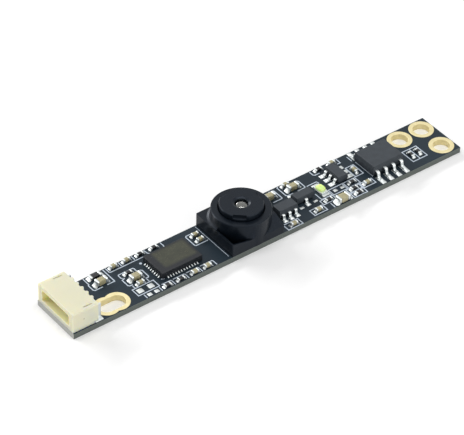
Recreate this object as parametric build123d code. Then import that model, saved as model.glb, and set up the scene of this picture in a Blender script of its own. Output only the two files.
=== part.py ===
from build123d import *
from math import sqrt
import os

# Strip camera module. Millimetres, +Z up, +X along the board towards the plated holes.
# The origin is the middle of the board's underside.

# Driving dimensions of the board
board_length = 60.0
board_width = 7.5
board_thickness = 0.8
copper = 0.04
ink = 0.02

# Plated holes: three round ones at the right end and a keyhole near the connector
hole_bore = 2.2
hole_land = 3.3
hole_wall = 0.06
end_hole_x = 28.3
inner_hole_x = 24.7
hole_y = 2.0
keyhole_x = -22.5
keyhole_step = 1.5

# Connector, five ways at one millimetre, mouth at the left end of the board
ways = 5
way_pitch = 1.0
socket_front = -30.0
socket_depth = 3.7
socket_width = 7.2
socket_height = 2.85
socket_wall = 0.6
mouth_depth = 3.0
mouth_half = 2.8
nail_y = 3.1

# Camera
lens_x = -2.4
base_left = -6.5
base_right = 1.5
base_height = 1.9
tower_diameter = 7.6
tower_top = 4.3
holder_bore = 5.9
holder_wall = 0.2
barrel_top = 5.0
barrel_diameter = 5.6
optics_diameter = 3.5

# Chips
controller_x = -12.78
controller_length = 6.0
controller_width = 4.0
controller_height = 0.85
controller_pitch = 0.4
memory_x = 19.5
memory_pitch = 1.27
small_pitch = 0.95
memory_land_end = 3.68

# Heights of the board's own surfaces
board_top = board_thickness
land_top = board_top + copper


def write_node(name, solids):
    shape = solids[0] if len(solids) == 1 else Compound(children=solids)
    export_step(shape, f"parts/{name}.step")


def block(x0, x1, y0, y1, z0, z1):
    middle = Pos((x0 + x1) / 2, (y0 + y1) / 2, (z0 + z1) / 2)
    return middle * Box(x1 - x0, y1 - y0, z1 - z0)


def placed(shape, x, y, turn=0.0, z=0.0):
    return Pos(x, y, z) * Rot(0, 0, turn) * shape


def rod(x, y, z0, z1, diameter):
    return Pos(x, y, (z0 + z1) / 2) * Cylinder(diameter / 2, z1 - z0)


def bent_band(points, thickness):
    # A flat face of even thickness along a bent line, mitred at each bend and square at its ends.
    line = [Vector(*point) for point in points]
    runs = [(end - start).normalized() for start, end in zip(line, line[1:])]
    left = []
    right = []
    for point, before, after in zip(line, runs[:1] + runs, runs + runs[-1:]):
        across = (before + after).rotate(Axis.Z, 90) * (thickness / 2 / (1 + before.dot(after)))
        left.append(point + across)
        right.append(point - across)
    return make_face(Polyline(*left, *reversed(right), close=True))


def stood_up(face, width):
    # A face drawn in XY, stood up in the XZ plane and given a width, half to each side.
    return Pos(0, width / 2, 0) * Rot(90, 0, 0) * extrude(face, width)


# Circuit board, its plated holes and its bare lands

round_holes = [(end_hole_x, hole_y), (end_hole_x, -hole_y), (inner_hole_x, hole_y)]
keyhole_centres = [(keyhole_x, -hole_y), (keyhole_x - keyhole_step, -hole_y)]


def round_bore(centre, diameter):
    return Pos(*centre) * Circle(diameter / 2)


def keyhole_bore(diameter):
    middle = Pos(keyhole_x - keyhole_step / 2, -hole_y)
    return middle * SlotCenterToCenter(keyhole_step, diameter)


def circuit_board():
    board = block(-board_length / 2, board_length / 2, -board_width / 2, board_width / 2, 0, board_top)
    drilled = hole_bore + 2 * hole_wall
    for centre in round_holes:
        board = board - extrude(round_bore(centre, drilled), board_top)
    return board - extrude(keyhole_bore(drilled), board_top)


def plated_hole(land, tube, bore):
    # A tube through the board with a flat land round its upper end.
    lined = extrude(tube, board_top) + Pos(0, 0, board_top) * extrude(land, copper)
    return lined - extrude(bore, land_top)


def end_hole_plating():
    return [plated_hole(round_bore(centre, hole_land), round_bore(centre, hole_bore + 2 * hole_wall),
                        round_bore(centre, hole_bore)) for centre in round_holes]


def keyhole_plating():
    # The land is two rings that run together; the bore is one smooth slot.
    land = round_bore(keyhole_centres[0], hole_land) + round_bore(keyhole_centres[1], hole_land)
    return plated_hole(land, keyhole_bore(hole_bore + 2 * hole_wall), keyhole_bore(hole_bore))


def bare_lands():
    # Lands of parts that this version of the module leaves out, and two test points.
    wide = [(-19.15, -2.1, 0.8, 0.75), (-17.6, -2.1, 0.8, 0.75)]
    narrow = [(-18.6, -3.3, 0.6, 0.5), (-17.55, -3.3, 0.6, 0.5)]
    spare = [(11.65, -1.12, 0.55, 0.45), (12.75, -1.12, 0.55, 0.45)]
    test_points = [(8.35, -1.3, 0.6, 0.3), (6.15, -1.35, 0.6, 0.4)]
    rows = wide + narrow + spare + test_points
    return [Pos(x, y, board_top + copper / 2) * Box(length, width, copper)
            for x, y, length, width in rows]


# Connector

mouth_floor = board_top + 0.65
socket_top = board_top + socket_height
mouth_roof = socket_top - socket_wall
socket_back = socket_front + socket_depth
way_offsets = [(index - (ways - 1) / 2) * way_pitch for index in range(ways)]


def fitting_nail(side):
    # A tinned plate in a slot of the housing, bent out to a foot on the board.
    plate = block(socket_front + 1.9, socket_back + 0.65, -0.1, 0.1, land_top + 0.7, socket_top - 0.55)
    leg = block(socket_back - 0.5, socket_back + 0.65, -0.1, 0.1, land_top, land_top + 0.7)
    foot = block(socket_back - 0.5, socket_back + 0.65, 0.1, 0.6, land_top, land_top + 0.2)
    nail = plate + leg + foot
    return Pos(0, nail_y, 0) * nail if side > 0 else Pos(0, -nail_y, 0) * mirror(nail, about=Plane.XZ)


def contact_strip(offset):
    # One strip from the tip in the mouth, out of the back wall and down to its foot.
    pin_height = (mouth_floor + mouth_roof) / 2
    foot_height = land_top + 0.1
    path = [
        (socket_front + 0.9, pin_height),
        (socket_back + 0.3, pin_height),
        (socket_back + 0.55, foot_height),
        (socket_back + 1.25, foot_height),
    ]
    return Pos(0, offset, 0) * stood_up(bent_band(path, 0.2), 0.32)


def comb_tooth(offset):
    # A small hood over a contact, with its free corners cut off.
    reach = 0.35
    outline = Polyline((-0.2, -0.25), (reach - 0.15, -0.25), (reach, -0.1), (reach, 0.1),
                       (reach - 0.15, 0.25), (-0.2, 0.25), close=True)
    tooth = extrude(make_face(outline), socket_top - 0.15 - mouth_floor - 0.55)
    return Pos(socket_back, offset, mouth_floor + 0.55) * tooth


def connector_housing(contacts, nails):
    shell = block(socket_front, socket_back, -socket_width / 2, socket_width / 2, board_top, socket_top)
    shell = fillet(shell.edges().filter_by(Axis.X).group_by(Axis.Z)[-1], 0.18)
    mouth = block(socket_front - 1, socket_front + mouth_depth, -mouth_half, mouth_half,
                  mouth_floor, mouth_roof)
    mouth = chamfer(mouth.edges().filter_by(Axis.X).group_by(Axis.Z)[-1], 0.25)
    shell = shell - mouth
    for offset in way_offsets:
        shell = shell + comb_tooth(offset)
    # Slots over the fitting nails.
    for side in (-1, 1):
        shell = shell - block(socket_front + 1.9, socket_front + 3.1, side * nail_y - 0.08,
                              side * nail_y + 0.08, socket_top - 0.5, socket_top + 1)
    for piece in contacts + nails:
        shell = shell - piece
    return shell


# Chips


def gull_lead(reach, rise, foot, width, thickness):
    # Out of the body, down and along the board.
    path = [
        (-0.25, rise),
        (reach * 0.34, rise),
        (reach - foot, thickness / 2),
        (reach, thickness / 2),
    ]
    return stood_up(bent_band(path, thickness), width)


def lead_row(edge, positions, lead, turn):
    # The pieces of one side, which point to -Y for a turn of -90 and to +Y for 90.
    sign = 1 if turn > 0 else -1
    return [placed(lead, along, sign * edge, turn) for along in positions]


def moulded_body(length, width, height, standoff):
    # Two drafted halves that meet where the leads leave.
    half = (height - standoff) / 2
    waist = land_top + standoff + half
    upper = Pos(0, 0, waist) * extrude(Rectangle(length, width), amount=half, taper=8)
    return upper + mirror(upper, about=Plane.XY.offset(waist))


def toe_solder(start, width, height, reach):
    # A wedge of solder that runs from the toe of a lead out to the end of its land.
    outline = Polyline((start, copper), (start + reach, copper), (start, copper + height), close=True)
    return stood_up(make_face(outline), width)


def leaded_chip(middle, body, lead, land, solder, rows):
    # Gives the body, then the leads, their lands and their solder, all at the chip's place.
    x, y, turn, edge = middle
    leads = [piece for positions, side in rows
             for piece in lead_row(edge, positions, Pos(0, 0, land_top) * lead, side)]
    under = [piece for positions, side in rows
             for piece in lead_row(edge, positions, Pos(0, 0, board_top) * land, side)]
    toes = [piece for positions, side in rows
            for piece in lead_row(edge, positions, Pos(0, 0, board_top) * solder, side)]
    for piece in leads:
        body = body - piece
    return [[placed(piece, x, y, turn) for piece in group] for group in ([body], leads, under, toes)]


def memory_chip():
    offsets = [(index - 1.5) * memory_pitch for index in range(4)]
    edge = 1.95
    reach = 1.05
    land_reach = memory_land_end - edge
    lead = gull_lead(reach, 0.85, 0.55, 0.42, 0.2)
    land = block(0.15, land_reach, -0.32, 0.32, 0, copper)
    solder = toe_solder(reach, 0.5, 0.18, land_reach - reach - 0.05)
    body = moulded_body(4.9, 3.9, 1.6, 0.12)
    return leaded_chip((memory_x, 0, 0, edge), body, lead, land, solder, [(offsets, -90), (offsets, 90)])


def small_chip(middle, size, near_offsets, far_offsets):
    # Small outline package: leads along its two long sides.
    x, y, turn = middle
    length, width, height, land_reach = size
    reach = 0.58
    lead = gull_lead(reach, height * 0.52, 0.32, 0.4, 0.13)
    land = block(0.12, land_reach, -0.3, 0.3, 0, copper)
    solder = toe_solder(reach, 0.46, 0.12, land_reach - reach - 0.04)
    body = moulded_body(length, width, height, 0.08)
    rows = [(near_offsets, -90), (far_offsets, 90)]
    return leaded_chip((x, y, turn, width / 2), body, lead, land, solder, rows)


def controller_pad_places():
    # Middle of each pad at the edge of the body, with the turn that points it outwards.
    places = []
    for index in range(12):
        along = controller_x + (index - 5.5) * controller_pitch
        places.append((along, -controller_width / 2, -90))
        places.append((along, controller_width / 2, 90))
    for index in range(8):
        across = (index - 3.5) * controller_pitch
        places.append((controller_x - controller_length / 2, across, 180))
        places.append((controller_x + controller_length / 2, across, 0))
    return places


def controller_pads():
    # The soldered pads run from under the edge of the body out to where their solder shows.
    pad = block(-0.35, 0.27, -0.1, 0.1, board_top, land_top)
    middle_pad = block(-2.1, 2.1, -1.1, 1.1, board_top, land_top)
    return [placed(pad, x, y, turn) for x, y, turn in controller_pad_places()] + [
        placed(middle_pad, controller_x, 0)]


def controller_body():
    # A sawn block of moulding that lies on its pads.
    half_length = controller_length / 2
    half_width = controller_width / 2
    return block(controller_x - half_length, controller_x + half_length, -half_width, half_width,
                 land_top, land_top + controller_height)


# Small two-terminal parts. Each row gives the middle and the turn.

small_capacitor_size = (1.0, 0.5, 0.5, 0.25)
large_capacitor_size = (1.6, 0.8, 0.8, 0.36)
wide_capacitor_size = (1.75, 1.05, 0.8, 0.38)
small_resistor_size = (1.0, 0.5, 0.36, 0.22)
large_resistor_size = (1.6, 0.8, 0.45, 0.32)

near_row_y = -3.3
far_row_y = 3.28

small_capacitors = [
    (-19.3, far_row_y, 0), (-17.35, far_row_y, 0), (-18.35, -1.05, 0), (-11.87, near_row_y, 0),
    (-9.95, near_row_y, 0), (-7.77, 2.2, 0), (-7.77, 1.13, 0), (3.4, -3.25, 0), (7.55, -2.95, 0),
    (15.8, -2.35, 0), (16.0, 0.5, 90), (7.1, far_row_y, 0), (14.5, far_row_y, 0),
]
large_capacitors = [(-22.15, 1.75, 0), (-18.3, 0.0, 0), (3.95, 2.4, 0), (7.5, 2.25, 0)]
wide_capacitors = [(11.25, -3.11, 0)]
small_resistors = [
    (-15.35, far_row_y, 0), (-13.25, far_row_y, 0), (-18.5, 1.3, 0), (-15.95, near_row_y, 0),
    (-13.95, near_row_y, 0), (9.8, -2.1, 0), (13.75, -2.22, 0), (13.75, -3.2, 0),
    (14.3, -1.12, 0), (12.4, far_row_y, 0), (23.85, -1.3, 90), (24.95, -1.3, 90),
]
large_resistors = [(-22.1, 3.15, 0)]


def end_terminal(size, side):
    # The metal end of a part, a little prouder than the body between the two.
    length, width, height, band = size
    return block(*sorted((side * length / 2, side * (length / 2 - band))), -width / 2, width / 2, 0, height)


def part_body(size):
    length, width, height, band = size
    skin = 0.03
    return block(band - length / 2, length / 2 - band, skin - width / 2, width / 2 - skin,
                 skin, height - skin)


def fitted_bodies(size, places):
    body = part_body(size)
    return [placed(body, x, y, turn, board_top) for x, y, turn in places]


def fitted_terminals(size, places):
    ends = [end_terminal(size, side) for side in (-1, 1)]
    return [placed(end, x, y, turn, board_top) for x, y, turn in places for end in ends]


def fitted_solder(size, places):
    # A wedge of solder lies on each land and climbs the end of the terminal.
    length, width, height, band = size
    outline = Polyline((0, 0), (width * 0.5, 0), (0, height * 0.6), close=True)
    joint = Pos(length / 2, 0, 0) * stood_up(make_face(outline), width * 1.04)
    return [placed(Rot(0, 0, end_turn) * joint, x, y, turn, board_top)
            for x, y, turn in places for end_turn in (0, 180)]


# Indicator lamp

lamp_x = 10.15
lamp_width = 1.0
lamp_length = 1.2
lamp_base_top = land_top + 0.25


def lamp_base():
    return block(lamp_x - lamp_width / 2, lamp_x + lamp_width / 2, -0.55, 0.55, land_top, lamp_base_top)


def lamp_terminals():
    return [block(lamp_x - lamp_width / 2, lamp_x + lamp_width / 2, *sorted((side * 0.55, side * 0.95)),
                  land_top, lamp_base_top) for side in (-1, 1)]


def lamp_lands():
    return [block(lamp_x - 0.5, lamp_x + 0.5, *sorted((side * 0.45, side * 1.3)), board_top, land_top)
            for side in (-1, 1)]


def lamp_lens():
    # A low block with cut corners under a steep crown.
    outline = chamfer(Rectangle(lamp_width, lamp_length).vertices(), 0.22)
    wall = extrude(outline, 0.22)
    crown = Pos(0, 0, 0.22) * extrude(outline, amount=0.25, taper=38)
    return Pos(lamp_x, 0, lamp_base_top) * (wall + crown)


# Lens holder: a round tower on a square base with a deep pocket in its near left corner

base_top = board_top + base_height
shelf_under = board_top + 0.95
shelf_top = board_top + 1.4
tower_radius = tower_diameter / 2
near_face = -board_width / 2


def holder_base():
    base = block(base_left, base_right, near_face, -near_face, board_top, base_top)
    base = chamfer(base.edges().filter_by(Axis.Z), 0.08)
    # The near wall sags from the left corner towards the tower.
    sag = Polyline((base_left + 0.15, base_top), (lens_x - 1.5, base_top - 0.5), (lens_x, base_top - 0.5),
                   (lens_x, base_top + 0.5), (base_left + 0.15, base_top + 0.5), close=True)
    base = base - Pos(0, near_face + 0.6, 0) * stood_up(make_face(sag), 1.2)
    # The near right corner is a ramp that falls to the near edge.
    ramp = Polyline((-1.9, base_top), (near_face - 1, base_top - 1.23), (near_face - 1, base_top + 1),
                    (-1.9, base_top + 1), close=True)
    return base - extrude(Plane.YZ.offset(lens_x) * make_face(ramp), 2 * tower_radius)


def corner_pocket():
    # The space between the two thin walls of the near left corner and the round tower.
    return block(base_left + holder_wall, lens_x, near_face + holder_wall, 0, base_top - 1.5, base_top + 1)


def tower_flare():
    # A concave web that carries the foot of the tower out on to the far corners of the base.
    reach = 0.4
    inside = tower_radius - 0.2
    outside = tower_radius + reach
    section = Polyline((tower_radius, base_top + reach), (inside, base_top + reach), (inside, base_top - 0.1),
                       (outside, base_top - 0.1), (outside, base_top), (tower_radius + 0.12, base_top + 0.12),
                       close=True)
    ring = Pos(lens_x, 0, 0) * revolve(Plane.XZ * make_face(section), Axis.Z)
    return ring & block(base_left, base_right, -0.3, -near_face, board_top, tower_top)


def lens_holder():
    tower = rod(lens_x, 0, board_top, tower_top, tower_diameter)
    tower = chamfer(tower.edges().group_by(Axis.Z)[-1], 0.08)
    holder = holder_base() - corner_pocket() + tower + tower_flare()
    bore = rod(lens_x, 0, shelf_top, tower_top + 1, holder_bore)
    # The sensor's room opens downwards, and the window above it looks up through the bore.
    sensor_room = block(lens_x - 2.5, lens_x + 2.5, -2.3, 2.3, board_top - 1, shelf_under)
    window = block(lens_x - 1.7, lens_x + 1.7, -1.7, 1.7, board_top, shelf_top + 1)
    return holder - bore - sensor_room - window


# Lens barrel and the optics inside it

barrel_foot = shelf_top + 0.35
barrel_radius = barrel_diameter / 2
optics_radius = optics_diameter / 2
front_seat = barrel_top - 0.55
front_lens_foot = front_seat - 0.55
middle_lens_top = 3.75
rear_seat = 3.1
rear_lens_radius = 2.15
eye_radius = 0.68
stop_diameter = 1.2
sensor_half_length = 2.3
sensor_half_width = 1.95


def barrel_section():
    # Half section of the barrel, outside from the foot up and inside from the front down.
    thread_radius = holder_bore / 2
    return make_face(Polyline(
        (rear_lens_radius, barrel_foot), (thread_radius, barrel_foot), (thread_radius, 3.35),
        (barrel_radius, 3.35), (barrel_radius, barrel_top - 0.08), (barrel_radius - 0.08, barrel_top),
        (1.15, barrel_top), (eye_radius, barrel_top - 0.2), (eye_radius, front_seat),
        (optics_radius, front_seat), (optics_radius, rear_seat), (rear_lens_radius, rear_seat), close=True,
    ))


def lens_barrel():
    # Three tool notches in the front edge let the barrel be turned in to focus.
    barrel = Pos(lens_x, 0, 0) * revolve(Plane.XZ * barrel_section(), Axis.Z)
    notch = block(2.43, 3.2, -0.85, 0.85, barrel_top - 0.45, barrel_top + 1)
    for angle in (105, 228, 350):
        barrel = barrel - placed(notch, lens_x, 0, angle)
    return barrel


def front_lens():
    # A round lens with a flat rim and a low dome that looks out through the eye of the barrel.
    clear = eye_radius - 0.05
    rise = 0.12
    sphere = (clear**2 + rise**2) / (2 * rise)
    half_way = front_seat + rise - sphere + sqrt(sphere**2 - clear**2 / 4)
    dome = ThreePointArc((0, front_seat + rise), (clear / 2, half_way), (clear, front_seat))
    rim = Polyline((clear, front_seat), (optics_radius, front_seat), (optics_radius, front_lens_foot),
                   (0, front_lens_foot), (0, front_seat + rise))
    return Pos(lens_x, 0, 0) * revolve(Plane.XZ * make_face(dome + rim), Axis.Z)


def stop_ring():
    # The spacer behind the front lens, whose hole is the stop.
    ring = rod(lens_x, 0, middle_lens_top, front_lens_foot, optics_diameter)
    return ring - rod(lens_x, 0, 3, barrel_top, stop_diameter)


def middle_lens():
    return rod(lens_x, 0, rear_seat, middle_lens_top, optics_diameter)


def rear_lens():
    return rod(lens_x, 0, barrel_foot + 0.1, rear_seat, 2 * rear_lens_radius)


def infrared_filter():
    return block(lens_x - 2, lens_x + 2, -2, 2, shelf_top, shelf_top + 0.21)


def sensor_package():
    return block(lens_x - sensor_half_length, lens_x + sensor_half_length,
                 -sensor_half_width, sensor_half_width, board_top, board_top + 0.35)


def sensor_cover():
    return block(lens_x - sensor_half_length, lens_x + sensor_half_length,
                 -sensor_half_width, sensor_half_width, board_top + 0.35, board_top + 0.75)


# Printed outlines: thin lines of ink round the parts

ink_width = 0.13


def ink_box(x0, x1, y0, y1):
    outer = Rectangle(x1 - x0 + ink_width, y1 - y0 + ink_width)
    inner = Rectangle(x1 - x0 - ink_width, y1 - y0 - ink_width)
    return Pos((x0 + x1) / 2, (y0 + y1) / 2, board_top) * extrude(outer - inner, ink)


def ink_line(*points):
    return Pos(0, 0, board_top) * extrude(bent_band(points, ink_width), ink)


def printed_outlines():
    edge = board_width / 2 - 0.1
    return [
        # left group by the connector
        ink_line((-23.5, edge), (-23.5, 2.42), (-23.65, 2.3), (-23.65, 1.3), (-23.5, 1.12), (-22.35, 1.12)),
        ink_line((-21.7, 1.12), (-20.6, 1.12), (-20.6, edge)),
        # far row of small parts left of the controller
        ink_line((-20.2, edge), (-20.2, 2.85), (-20.05, 2.72), (-15.0, 2.72)),
        ink_line((-18.3, edge), (-18.3, 2.9)),
        ink_line((-16.35, edge), (-16.35, 2.9)),
        ink_line((-14.5, edge), (-14.4, 2.95), (-14.15, 2.72), (-12.15, 2.72), (-12.0, 2.85), (-12.0, edge)),
        # stepped group left of the controller
        ink_line((-19.55, 0.95), (-19.7, 1.1), (-19.7, 1.65), (-19.6, 1.76), (-17.5, 1.76), (-17.4, 1.6),
                 (-17.4, 0.98)),
        ink_line((-19.35, 0.85), (-19.8, 0.7), (-19.8, -0.5), (-19.65, -0.66), (-19.2, -0.66)),
        ink_line((-17.0, 0.98), (-16.78, 0.8), (-16.78, -0.5), (-16.9, -0.66), (-17.3, -0.66)),
        ink_line((-19.38, -0.8), (-19.38, -1.3)),
        ink_line((-17.25, -0.8), (-17.25, -1.3)),
        ink_box(-19.85, -16.75, -2.75, -1.43),
        ink_line((-19.2, -2.95), (-19.2, -edge)),
        ink_line((-16.95, -2.95), (-16.95, -edge)),
        # near row below the controller
        ink_line((-16.4, -2.7), (-15.1, -2.7), (-15.0, -2.85), (-15.0, -edge)),
        ink_line((-14.75, -2.72), (-13.15, -2.72), (-13.0, -2.85), (-13.0, -edge)),
        ink_line((-12.75, -2.72), (-11.05, -2.72), (-10.95, -2.85), (-10.95, -edge)),
        ink_line((-10.7, -2.72), (-8.9, -2.72), (-8.8, -2.85), (-8.8, -edge)),
        # first-lead dot and corner tick of the controller
        Pos(-16.2, 1.92, board_top) * extrude(RegularPolygon(0.18, 10), ink),
        ink_line((-15.88, -1.85), (-15.52, -2.05)),
        # pair beside the lens, and the line along the holder
        ink_line((-6.95, 2.75), (-8.75, 2.75), (-8.88, 2.6), (-8.88, 0.75), (-8.75, 0.62), (-6.95, 0.62)),
        ink_line((-6.75, 3.6), (-6.75, -3.3)),
        # right of the lens
        ink_line((4.6, 3.45), (5.25, 3.4), (5.35, 3.3), (5.35, 1.65), (5.25, 1.55), (3.9, 1.55)),
        ink_line((6.2, edge), (6.0, 3.5), (6.0, 1.7), (6.15, 1.55), (7.05, 1.55)),
        ink_line((7.75, 1.55), (8.9, 1.55), (9.02, 1.7), (9.02, 3.0), (8.85, 3.2)),
        ink_box(2.2, 4.45, -3.72, -2.6),
        ink_box(6.55, 8.55, -3.45, -2.35),
        # lamp and the parts below it
        ink_line((9.2, 1.25), (9.3, 1.6), (10.75, 1.6), (10.9, 1.25)),
        ink_line((9.15, -0.2), (9.15, -1.5), (10.75, -1.5), (10.75, -0.6)),
        ink_box(8.75, 10.77, -2.48, -1.64),
        ink_line((9.6, -3.65), (9.6, -2.7)),
        # right group
        ink_line((11.25, edge), (11.25, 2.9), (11.45, 2.72), (12.2, 2.72)),
        ink_line((15.1, 2.8), (15.6, 2.8), (15.6, edge)),
        ink_box(15.4, 16.68, -0.5, 1.55),
        ink_box(10.95, 13.12, -1.72, -0.58),
        ink_box(13.3, 15.2, -1.72, -0.58),
        ink_box(12.75, 14.8, -2.6, -1.87),
        ink_box(12.75, 14.8, -3.65, -2.76),
        ink_box(14.96, 16.8, -2.85, -1.88),
        ink_line((17.25, 1.8), (17.25, -1.7)),
        ink_line((16.98, 3.2), (16.98, 2.2)),
        ink_line((21.95, 3.2), (22.85, 3.2)),
        # resistors at the right end
        ink_box(23.25, 25.55, -2.47, -0.2),
        ink_line((24.4, -2.38), (24.4, -0.29)),
    ]


# Build and write the nodes

os.makedirs("parts", exist_ok=True)

write_node("circuit_board", [circuit_board()])
write_node("end_hole_plating", end_hole_plating())
write_node("keyhole_plating", [keyhole_plating()])
write_node("bare_lands", bare_lands())

contacts = [contact_strip(offset) for offset in way_offsets]
nails = [fitting_nail(side) for side in (-1, 1)]
write_node("connector_contacts", contacts)
write_node("connector_fitting_nails", nails)
write_node("connector_housing", [connector_housing(contacts, nails)])

write_node("controller_pads", controller_pads())
write_node("controller_body", [controller_body()])

lands = lamp_lands()
solder = []
three = [-small_pitch, 0, small_pitch]
chips = {
    "memory": memory_chip(),
    "lens_side_regulator": small_chip((3.9, -0.78, 0), (2.9, 1.6, 1.25, 0.85), three, three),
    "right_regulator": small_chip((13.45, 1.03, -90), (2.9, 1.5, 1.0, 1.1), three, three),
    "transistor": small_chip((7.22, -0.05, 0), (2.8, 1.3, 1.05, 0.85), [0], [-small_pitch, small_pitch]),
}
for name, (body, leads, under, toes) in chips.items():
    write_node(f"{name}_body", body)
    write_node(f"{name}_leads", leads)
    lands.extend(under)
    solder.extend(toes)

families = {
    "small_capacitor": (small_capacitor_size, small_capacitors),
    "large_capacitor": (large_capacitor_size, large_capacitors),
    "wide_capacitor": (wide_capacitor_size, wide_capacitors),
    "small_resistor": (small_resistor_size, small_resistors),
    "large_resistor": (large_resistor_size, large_resistors),
}
for name, (size, places) in families.items():
    write_node(f"{name}_bodies", fitted_bodies(size, places))
    write_node(f"{name}_terminals", fitted_terminals(size, places))
    solder.extend(fitted_solder(size, places))
write_node("part_lands", lands)
write_node("solder_fillets", solder)

write_node("lamp_base", [lamp_base()])
write_node("lamp_terminals", lamp_terminals())
write_node("lamp_lens", [lamp_lens()])

write_node("lens_holder", [lens_holder()])
write_node("lens_barrel", [lens_barrel()])
write_node("front_lens", [front_lens()])
write_node("stop_ring", [stop_ring()])
write_node("middle_lens", [middle_lens()])
write_node("rear_lens", [rear_lens()])
write_node("infrared_filter", [infrared_filter()])
write_node("sensor_package", [sensor_package()])
write_node("sensor_cover", [sensor_cover()])

write_node("printed_outlines", printed_outlines())
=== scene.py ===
import bmesh
import bpy
import math
import numpy as np
from mathutils import Matrix, Quaternion, Vector


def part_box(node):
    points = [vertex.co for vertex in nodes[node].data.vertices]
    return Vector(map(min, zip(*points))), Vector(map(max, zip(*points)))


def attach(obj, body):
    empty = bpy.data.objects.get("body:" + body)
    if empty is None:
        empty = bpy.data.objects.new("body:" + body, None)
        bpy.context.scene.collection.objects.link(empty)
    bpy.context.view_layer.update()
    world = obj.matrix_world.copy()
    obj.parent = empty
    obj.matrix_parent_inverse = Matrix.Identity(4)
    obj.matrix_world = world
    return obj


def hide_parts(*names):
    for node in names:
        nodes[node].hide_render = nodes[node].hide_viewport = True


# Strip camera module: the looks of a small board with a plug socket, a lens tower and its parts.
# Everything is in metres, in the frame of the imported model; shapes are worked out in millimetres.

mm = 0.001
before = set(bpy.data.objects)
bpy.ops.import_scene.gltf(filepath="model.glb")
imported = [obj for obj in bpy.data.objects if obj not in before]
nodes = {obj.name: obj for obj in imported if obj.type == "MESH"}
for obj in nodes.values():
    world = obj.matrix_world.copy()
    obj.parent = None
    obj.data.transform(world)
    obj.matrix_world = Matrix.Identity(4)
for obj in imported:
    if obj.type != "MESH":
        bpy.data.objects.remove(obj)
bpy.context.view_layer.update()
print("frame loaded:", len(nodes), "pieces")


def linearColour(hexColour):
    # sRGB hex to linear: values under 0.04045 are divided by 12.92, the rest follow the 2.4 power
    channels = [int(hexColour[i:i + 2], 16) / 255 for i in (1, 3, 5)]
    return tuple(c / 12.92 if c <= 0.04045 else ((c + 0.055) / 1.055) ** 2.4 for c in channels) + (1.0,)


def addNode(owner, kind, links=None, **settings):
    # Adds a node to a material or a world, sets its properties, then fills each input with a value or
    # another node's output
    node = owner.node_tree.nodes.new(kind)
    for name, value in settings.items():
        setattr(node, name, value)
    for name, value in (links or {}).items():
        if isinstance(value, bpy.types.NodeSocket):
            owner.node_tree.links.new(value, node.inputs[name])
        else:
            node.inputs[name].default_value = value
    return node


def newMaterial(name, shaderValues):
    # A material with its Principled shader; the values go straight on to the shader's own sockets
    material = bpy.data.materials.new(name)
    material.use_nodes = True
    shader = material.node_tree.nodes["Principled BSDF"]
    for socket, value in shaderValues.items():
        shader.inputs[socket].default_value = value
    return material, shader


# Inputs 6 and 7 of a Mix node set to RGBA are its two colours, and output 2 is the result.
mixFactor, mixFirst, mixSecond, mixResult = 0, 6, 7, 2


def grainedFinish(name, dark, light, cloudSize, grainSize, roughness, bump, shaderValues):
    # The common recipe: two tones mixed by a soft cloud, and a grain of real size in gloss and relief
    material, shader = newMaterial(name, shaderValues)
    place = addNode(material, "ShaderNodeTexCoord").outputs["Object"]
    cloud = addNode(material, "ShaderNodeTexNoise", {
        "Vector": place, "Scale": 1 / (cloudSize * mm), "Detail": 3.0})
    grain = addNode(material, "ShaderNodeTexNoise", {
        "Vector": place, "Scale": 1 / (grainSize * mm), "Detail": 2.0})
    tones = addNode(material, "ShaderNodeMix", {
        mixFactor: cloud.outputs["Fac"], mixFirst: linearColour(dark), mixSecond: linearColour(light)},
        data_type="RGBA")
    gloss = addNode(material, "ShaderNodeMapRange", {
        "Value": grain.outputs["Fac"], "From Min": 0.3, "From Max": 0.7,
        "To Min": roughness[0], "To Max": roughness[1]})
    relief = addNode(material, "ShaderNodeBump", {
        "Height": grain.outputs["Fac"], "Strength": bump, "Distance": grainSize * mm})
    links = material.node_tree.links
    links.new(tones.outputs[mixResult], shader.inputs["Base Color"])
    links.new(gloss.outputs["Result"], shader.inputs["Roughness"])
    links.new(relief.outputs["Normal"], shader.inputs["Normal"])
    return material


def insideBox(material, place, centre, outer, softness, axes):
    # 1 inside a box round its centre, and falling to 0 over the softness at its outer half sizes, in mm
    fromCentre = addNode(material, "ShaderNodeVectorMath", {0: place, 1: tuple(centre * mm)},
                         operation="SUBTRACT")
    distance = addNode(material, "ShaderNodeVectorMath", {0: fromCentre.outputs[0]},
                       operation="ABSOLUTE")
    away = addNode(material, "ShaderNodeSeparateXYZ", {"Vector": distance.outputs[0]})
    share = 1.0
    for index, axis in enumerate(axes):
        inset = addNode(material, "ShaderNodeMapRange", {
            "Value": away.outputs[axis], "From Min": (outer[index] - softness) * mm,
            "From Max": outer[index] * mm, "To Min": 1.0, "To Max": 0.0})
        share = addNode(material, "ShaderNodeMath", {0: inset.outputs["Result"], 1: share},
                        operation="MULTIPLY").outputs[0]
    return share


def roundMark(material, place, centre, radius, core, strength):
    # The strength out to the core's share of the radius round a place in mm, then falling to 0
    distance = addNode(material, "ShaderNodeVectorMath", {
        0: place, 1: tuple(mm * value for value in centre)}, operation="DISTANCE")
    return addNode(material, "ShaderNodeMapRange", {
        "Value": distance.outputs["Value"], "From Min": radius * core * mm, "From Max": radius * mm,
        "To Min": strength, "To Max": 0.0}).outputs["Result"]


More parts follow.
